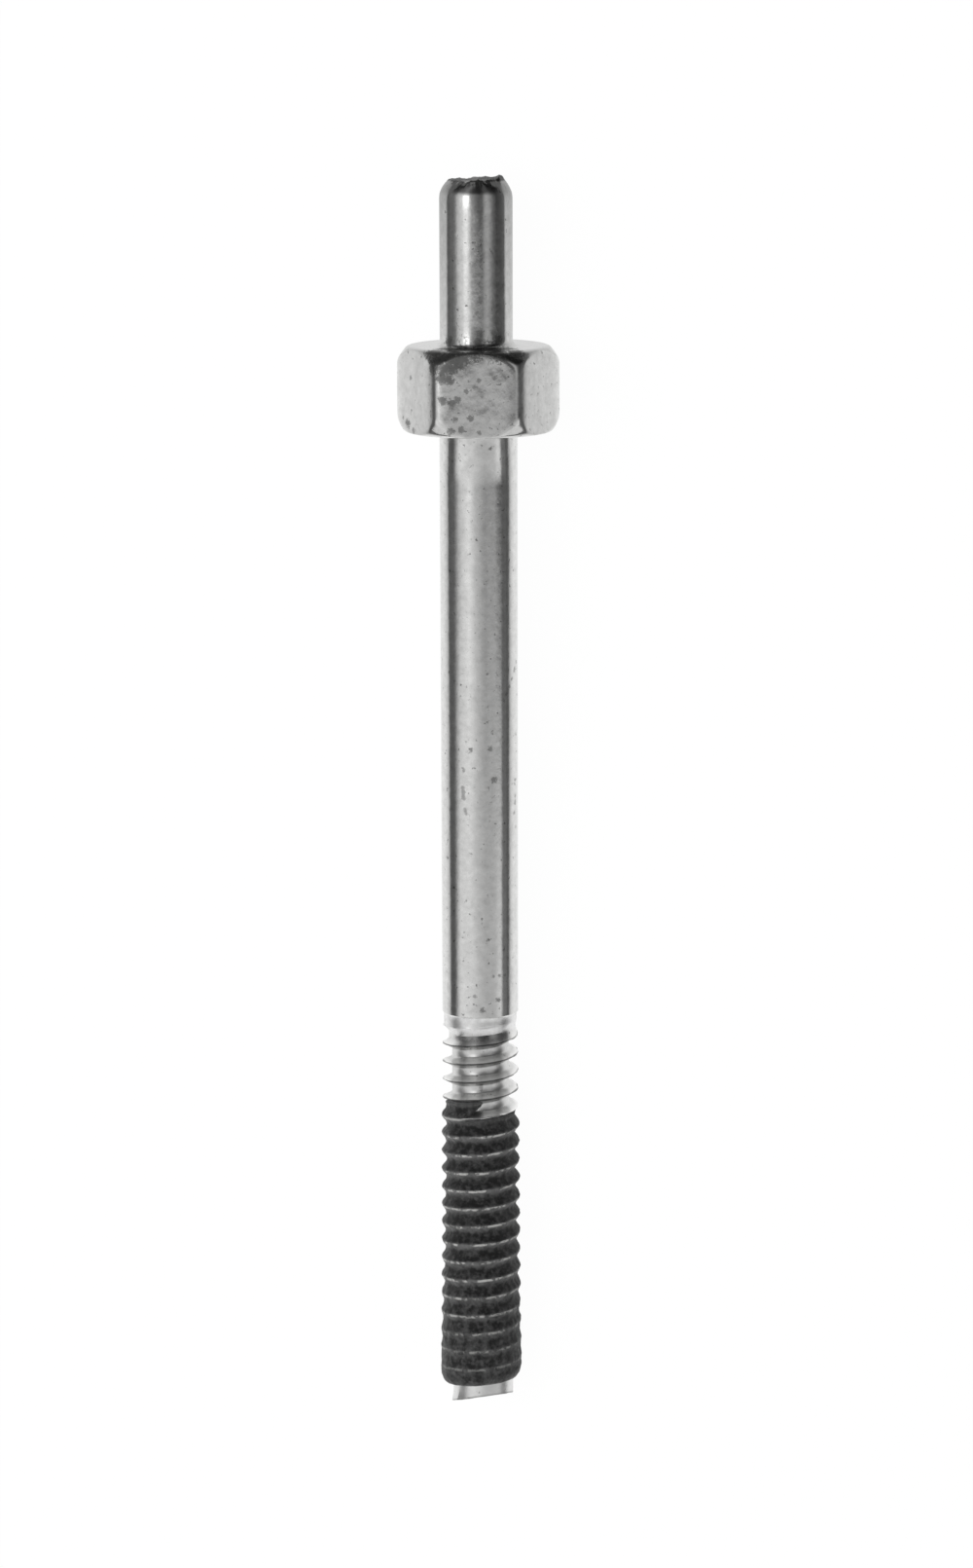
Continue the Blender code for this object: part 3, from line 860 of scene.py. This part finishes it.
off_line = add(tree, "ShaderNodeMath", {0: within.outputs[0], 1: 0.08}, operation="SUBTRACT")
distance = add(tree, "ShaderNodeMath", {0: off_line.outputs[0]}, operation="ABSOLUTE")
line = add(tree, "ShaderNodeMapRange", {
    "Value": distance.outputs[0], "From Min": 0.03, "From Max": 0.10, "To Min": 1.0, "To Max": 0.0,
})
# The rubbed line comes and goes over 0.45 mm (2.2 to the millimetre), and is whole where the coat
# starts, thin.
wear = add(tree, "ShaderNodeTexNoise", {
    "Vector": place, "Scale": 2.2, "Detail": 4.0, "Roughness": 0.7,
})
worn = add(tree, "ShaderNodeMapRange", {
    "Value": wear.outputs["Fac"], "From Min": 0.47, "From Max": 0.57, "To Min": 0.02, "To Max": 1.0,
})
thin_start = add(tree, "ShaderNodeMapRange", {
    "Value": axes.outputs["Z"], "From Min": THIN_UNTIL, "From Max": THIN_FROM, "To Max": 0.8,
})
worn_through = add(tree, "ShaderNodeMath", {
    0: worn.outputs["Result"], 1: thin_start.outputs["Result"],
}, operation="MAXIMUM")
worn_line = add(tree, "ShaderNodeMath", {
    0: line.outputs["Result"], 1: worn_through.outputs[0],
}, operation="MULTIPLY")
rubbed = add(tree, "ShaderNodeMath", {
    0: worn_line.outputs[0], 1: thicker.outputs["Result"],
}, operation="MULTIPLY")
coat_colour = add(tree, "ShaderNodeMix", {
    "Factor": rubbed.outputs[0], "A": crust.outputs["Result"], "B": linear("9C9C9A"),
}, data_type="RGBA")
tree.links.new(coat_colour.outputs["Result"], shader.inputs["Base Color"])
shader.inputs["Roughness"].default_value = 0.72
shader.inputs["Specular IOR Level"].default_value = 0.25
shader.inputs["Sheen Weight"].default_value = 0.15
shader.inputs["Sheen Roughness"].default_value = 0.5
grit = add(tree, "ShaderNodeBump", {
    "Height": grain.outputs["Fac"], "Strength": 0.6, "Distance": 0.00006,
})
tree.links.new(grit.outputs["Normal"], shader.inputs["Normal"])

coat.data.materials.clear()
coat.data.materials.append(dried_compound)
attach(coat, "root")
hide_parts("thread_lock_coating")


# The surface that the stud lies on: a smooth white board. It glows a little to the camera and in
# reflections, and keeps the stud's soft shadow. In the metal it shows a painted pool of light that
# fades 6 to 24 mm beside the stud, and a painted shadow that dims it along the stud past the
# hexagon. Places in metres.
POOL_EDGE, POOL_END = 0.006, 0.024
PIN_FROM, PIN_FULLY = 0.0186, 0.0196
GLOW_SHARE = 0.97
bpy.ops.mesh.primitive_plane_add(size=6.0, location=(0, 0, 0))
floor = bpy.context.object
floor.name = "floor"
white_board, tree, shader = new_material("white_board")
shader.inputs["Base Color"].default_value = linear("F4F4F3")
shader.inputs["Roughness"].default_value = 0.9
shader.inputs["Specular IOR Level"].default_value = 0.1
path = add(tree, "ShaderNodeLightPath")
seen_or_mirrored = add(tree, "ShaderNodeMath", {
    0: path.outputs["Is Camera Ray"], 1: path.outputs["Is Glossy Ray"],
}, operation="MAXIMUM")
seen = add(tree, "ShaderNodeMath", {
    0: seen_or_mirrored.outputs[0], 1: path.outputs["Is Transmission Ray"],
}, operation="MAXIMUM")
spot = add(tree, "ShaderNodeSeparateXYZ", {
    "Vector": add(tree, "ShaderNodeTexCoord").outputs["Object"],
})
beside = add(tree, "ShaderNodeMath", {0: spot.outputs["X"]}, operation="ABSOLUTE")
at_pin = add(tree, "ShaderNodeMapRange", {
    "Value": spot.outputs["Y"], "From Min": PIN_FROM, "From Max": PIN_FULLY,
})
along_pin = add(tree, "ShaderNodeMath", {
    0: spot.outputs["Y"], 1: 0.9, 2: -0.0075,
}, operation="MULTIPLY_ADD")
painted_shadow_past_pin = add(tree, "ShaderNodeMath", {
    0: along_pin.outputs[0], 1: at_pin.outputs["Result"],
}, operation="MULTIPLY")
away = add(tree, "ShaderNodeMath", {
    0: beside.outputs[0], 1: painted_shadow_past_pin.outputs[0],
}, operation="MAXIMUM")
# Painted light in reflections: a pool bright beside the stud, with a painted shadow past the
# hexagon.
painted_light_pool = add(tree, "ShaderNodeMapRange", {
    "Value": away.outputs[0], "From Min": POOL_EDGE, "From Max": POOL_END,
    "To Min": 1.0, "To Max": 0.10,
})
strength = add(tree, "ShaderNodeMix", {
    "Factor": path.outputs["Is Glossy Ray"], "A": 1.0, "B": painted_light_pool.outputs["Result"],
})
glow = add(tree, "ShaderNodeEmission", {
    "Color": (1, 1, 1, 1), "Strength": strength.outputs["Result"],
})
glowing = add(tree, "ShaderNodeMath", {0: seen.outputs[0], 1: GLOW_SHARE}, operation="MULTIPLY")
board = add(tree, "ShaderNodeMixShader", {
    0: glowing.outputs[0], 1: shader.outputs[0], 2: glow.outputs[0],
})
tree.links.new(board.outputs[0], tree.nodes["Material Output"].inputs["Surface"])
floor.data.materials.append(white_board)


# The room, as metal mirrors it: dark near both horizons and bright up to the left of the stud. The
# pin, the hexagon, the shank and the thread each mirror a slice of their own, because each lies at
# its own angle from the camera. Only the camera sees the room white.
world = bpy.data.worlds.new("studio")
bpy.context.scene.world = world
world.use_nodes = True
tree = world.node_tree
direction = add(tree, "ShaderNodeTexCoord").outputs["Generated"]
axes = add(tree, "ShaderNodeSeparateXYZ", {"Vector": direction})
across = add(tree, "ShaderNodeMath", {
    0: axes.outputs["X"], 1: axes.outputs["Z"],
}, operation="ARCTAN2")
place_across = add(tree, "ShaderNodeMath", {
    0: across.outputs[0], 1: 1 / math.pi, 2: 0.5,
}, operation="MULTIPLY_ADD")


def brightness_across(tree, position, stops):
    """A slice's brightness from the left horizon, at -90 degrees, to the right one, at 90."""
    ramp = add(tree, "ShaderNodeValToRGB", {"Fac": position})
    ramp.color_ramp.interpolation = "LINEAR"
    ramp.color_ramp.elements.remove(ramp.color_ramp.elements[1])
    for i, (degrees, value) in enumerate(stops):
        where = degrees / 180 + 0.5
        element = ramp.color_ramp.elements.new(where) if i else ramp.color_ramp.elements[0]
        element.position = where
        element.color = (value, value, value, 1.0)
    return ramp.outputs["Color"]


over_pin = brightness_across(tree, place_across.outputs[0], [
    (-90, 0.16), (-76, 0.16), (-68, 0.22), (-60, 0.56), (-50, 0.76), (-42, 0.84), (-36, 1.10),
    (-28, 1.14), (-20, 0.72), (-12, 0.34), (0, 0.19), (12, 0.11), (20, 0.12), (30, 0.40),
    (37, 0.46), (46, 0.33), (56, 0.15), (68, 0.06), (90, 0.10),
])
over_hexagon = brightness_across(tree, place_across.outputs[0], [
    (-90, 0.14), (-78, 0.20), (-68, 0.42), (-56, 0.64), (-40, 0.70), (-18, 0.69), (-8, 0.65),
    (4, 0.64), (10, 0.59), (18, 0.50), (30, 0.30), (50, 0.14), (90, 0.12),
])
over_shank = brightness_across(tree, place_across.outputs[0], [
    (-90, 0.14), (-76, 0.14), (-68, 0.32), (-60, 0.58), (-50, 0.78), (-36, 0.96), (-30, 1.06),
    (-24, 0.96), (-18, 0.88), (-10, 0.70), (0, 0.58), (12, 0.40), (20, 0.35), (32, 0.40),
    (50, 0.40), (58, 0.22), (66, 0.12), (90, 0.14),
])
over_thread = brightness_across(tree, place_across.outputs[0], [
    (-90, 0.10), (-80, 0.14), (-74, 0.38), (-68, 0.70), (-60, 0.92), (-50, 0.90), (-36, 0.85),
    (-20, 0.79), (-8, 0.70), (0, 0.64), (12, 0.61), (20, 0.57), (40, 0.58), (50, 0.64), (60, 0.84),
    (68, 0.84), (75, 0.22), (90, 0.18),
])
along_stud = add(tree, "ShaderNodeVectorMath", {
    0: direction, 1: (0.0, math.cos(LEAN), math.sin(LEAN)),
}, operation="DOT_PRODUCT")
upwards = add(tree, "ShaderNodeMath", {0: along_stud.outputs["Value"]}, operation="ARCSINE")

# From one slice to the next, by the angle towards the pin's end in degrees.
slices = over_pin
for next_slice, fade_start, fade_end in (
    (over_hexagon, -5.6, -5.8), (over_shank, -6.6, -6.8), (over_thread, -7.5, -13),
):
    entered = add(tree, "ShaderNodeMapRange", {
        "Value": upwards.outputs[0],
        "From Min": math.radians(fade_start), "From Max": math.radians(fade_end),
    })
    slices = add(tree, "ShaderNodeMix", {
        "Factor": entered.outputs["Result"], "A": slices, "B": next_slice,
    }, data_type="RGBA").outputs["Result"]

# Far past the pin's end the room is dark, and far past the thread's end it is an even light grey.
towards_pin = add(tree, "ShaderNodeMapRange", {
    "Value": upwards.outputs[0], "From Min": math.radians(17), "From Max": math.radians(42),
    "To Min": 1.0, "To Max": 0.18,
}, interpolation_type="SMOOTHSTEP")
past_thread = add(tree, "ShaderNodeMapRange", {
    "Value": upwards.outputs[0], "From Min": math.radians(-22), "From Max": math.radians(-40),
}, interpolation_type="SMOOTHSTEP")
panels = add(tree, "ShaderNodeMix", {
    "Factor": 1.0, "A": slices, "B": towards_pin.outputs["Result"],
}, data_type="RGBA", blend_type="MULTIPLY")
panels = add(tree, "ShaderNodeMix", {
    "Factor": past_thread.outputs["Result"], "A": panels.outputs["Result"],
    "B": (0.80, 0.80, 0.80, 1.0),
}, data_type="RGBA")

# A small window up to the left, past the pin's end: the white drop on the pin's rounded end. For
# each direction: its middle, how far its edge starts and ends from there, in degrees, and its
# brightness.
window = []
for angle, middle, edge_start, edge_end, brightness in (
    (across, -30, 7, 13, 1.0), (upwards, 9.5, 9, 12, 0.9),
):
    off_middle = add(tree, "ShaderNodeMath", {
        0: angle.outputs[0], 1: math.radians(-middle),
    }, operation="ADD")
    distance = add(tree, "ShaderNodeMath", {0: off_middle.outputs[0]}, operation="ABSOLUTE")
    window.append(add(tree, "ShaderNodeMapRange", {
        "Value": distance.outputs[0],
        "From Min": math.radians(edge_start), "From Max": math.radians(edge_end),
        "To Min": brightness, "To Max": 0.0,
    }))
window_light = add(tree, "ShaderNodeMath", {
    0: window[0].outputs["Result"], 1: window[1].outputs["Result"],
}, operation="MULTIPLY")
panels = add(tree, "ShaderNodeMix", {
    "Factor": 1.0, "A": panels.outputs["Result"], "B": window_light.outputs[0],
}, data_type="RGBA", blend_type="ADD")
path = add(tree, "ShaderNodeLightPath")
room = add(tree, "ShaderNodeBackground", {"Color": panels.outputs["Result"], "Strength": 1.0})
white = add(tree, "ShaderNodeBackground", {"Color": (1, 1, 1, 1), "Strength": 1.0})
surround = add(tree, "ShaderNodeMixShader", {
    0: path.outputs["Is Camera Ray"], 1: room.outputs[0], 2: white.outputs[0],
})
output = tree.nodes.get("World Output") or add(tree, "ShaderNodeOutputWorld")
tree.links.new(surround.outputs[0], output.inputs["Surface"])

# A broad soft lamp up to the left, for the compound and the board. The metal doesn't mirror it.
bpy.ops.object.light_add(type="AREA", location=(-0.18, 0.05, 0.45))
lamp = bpy.context.object
lamp.name = "soft_panel"
lamp.data.shape = "RECTANGLE"
lamp.data.size = 0.30
lamp.data.size_y = 0.50
lamp.data.energy = 2.2
lamp.visible_glossy = False
lamp.rotation_euler = (Vector((0, 0, 0)) - lamp.location).to_track_quat("-Z", "Y").to_euler()


# The camera stands 218 mm from the middle of the stud, leans a little towards the pin, and sees it
# upright. Its target is in millimetres on the standing stud, and its focal length in pixels of the
# 1611-pixel high photograph.
CAMERA_DISTANCE = 0.2178
CAMERA_TILT = math.radians(10.58)
CAMERA_SIDE = math.radians(0.81)
CAMERA_ROLL = math.radians(-0.169)
CAMERA_TARGET = Vector((0.295, 0.0, -15.14)) * 0.001
FOCAL_PIXELS = 5247.4
IMAGE_HEIGHT = 1611

back = Vector((
    math.sin(CAMERA_SIDE) * math.cos(CAMERA_TILT),
    -math.cos(CAMERA_SIDE) * math.cos(CAMERA_TILT),
    math.sin(CAMERA_TILT),
))
level_up = (Vector((0, 0, 1)) - Vector((0, 0, 1)).dot(back) * back).normalized()
right = (-back).cross(level_up)
rolled_right = math.cos(CAMERA_ROLL) * right + math.sin(CAMERA_ROLL) * level_up
rolled_up = -math.sin(CAMERA_ROLL) * right + math.cos(CAMERA_ROLL) * level_up
stand = Matrix((rolled_right, rolled_up, back)).transposed().to_4x4()
stand.translation = CAMERA_TARGET + CAMERA_DISTANCE * back
lying = Matrix.Translation(AXIS_PLACE) @ Matrix.Rotation(LEAN - math.pi / 2, 4, "X")
camera_data = bpy.data.cameras.new("camera")
camera = bpy.data.objects.new("camera", camera_data)
bpy.context.collection.objects.link(camera)
camera.matrix_world = lying @ stand
camera_data.sensor_width = 36
camera_data.lens = FOCAL_PIXELS * camera_data.sensor_width / IMAGE_HEIGHT
camera_data.clip_start = 0.01
camera_data.clip_end = 20
bpy.context.scene.camera = camera

bpy.context.scene.view_settings.view_transform = "Standard"
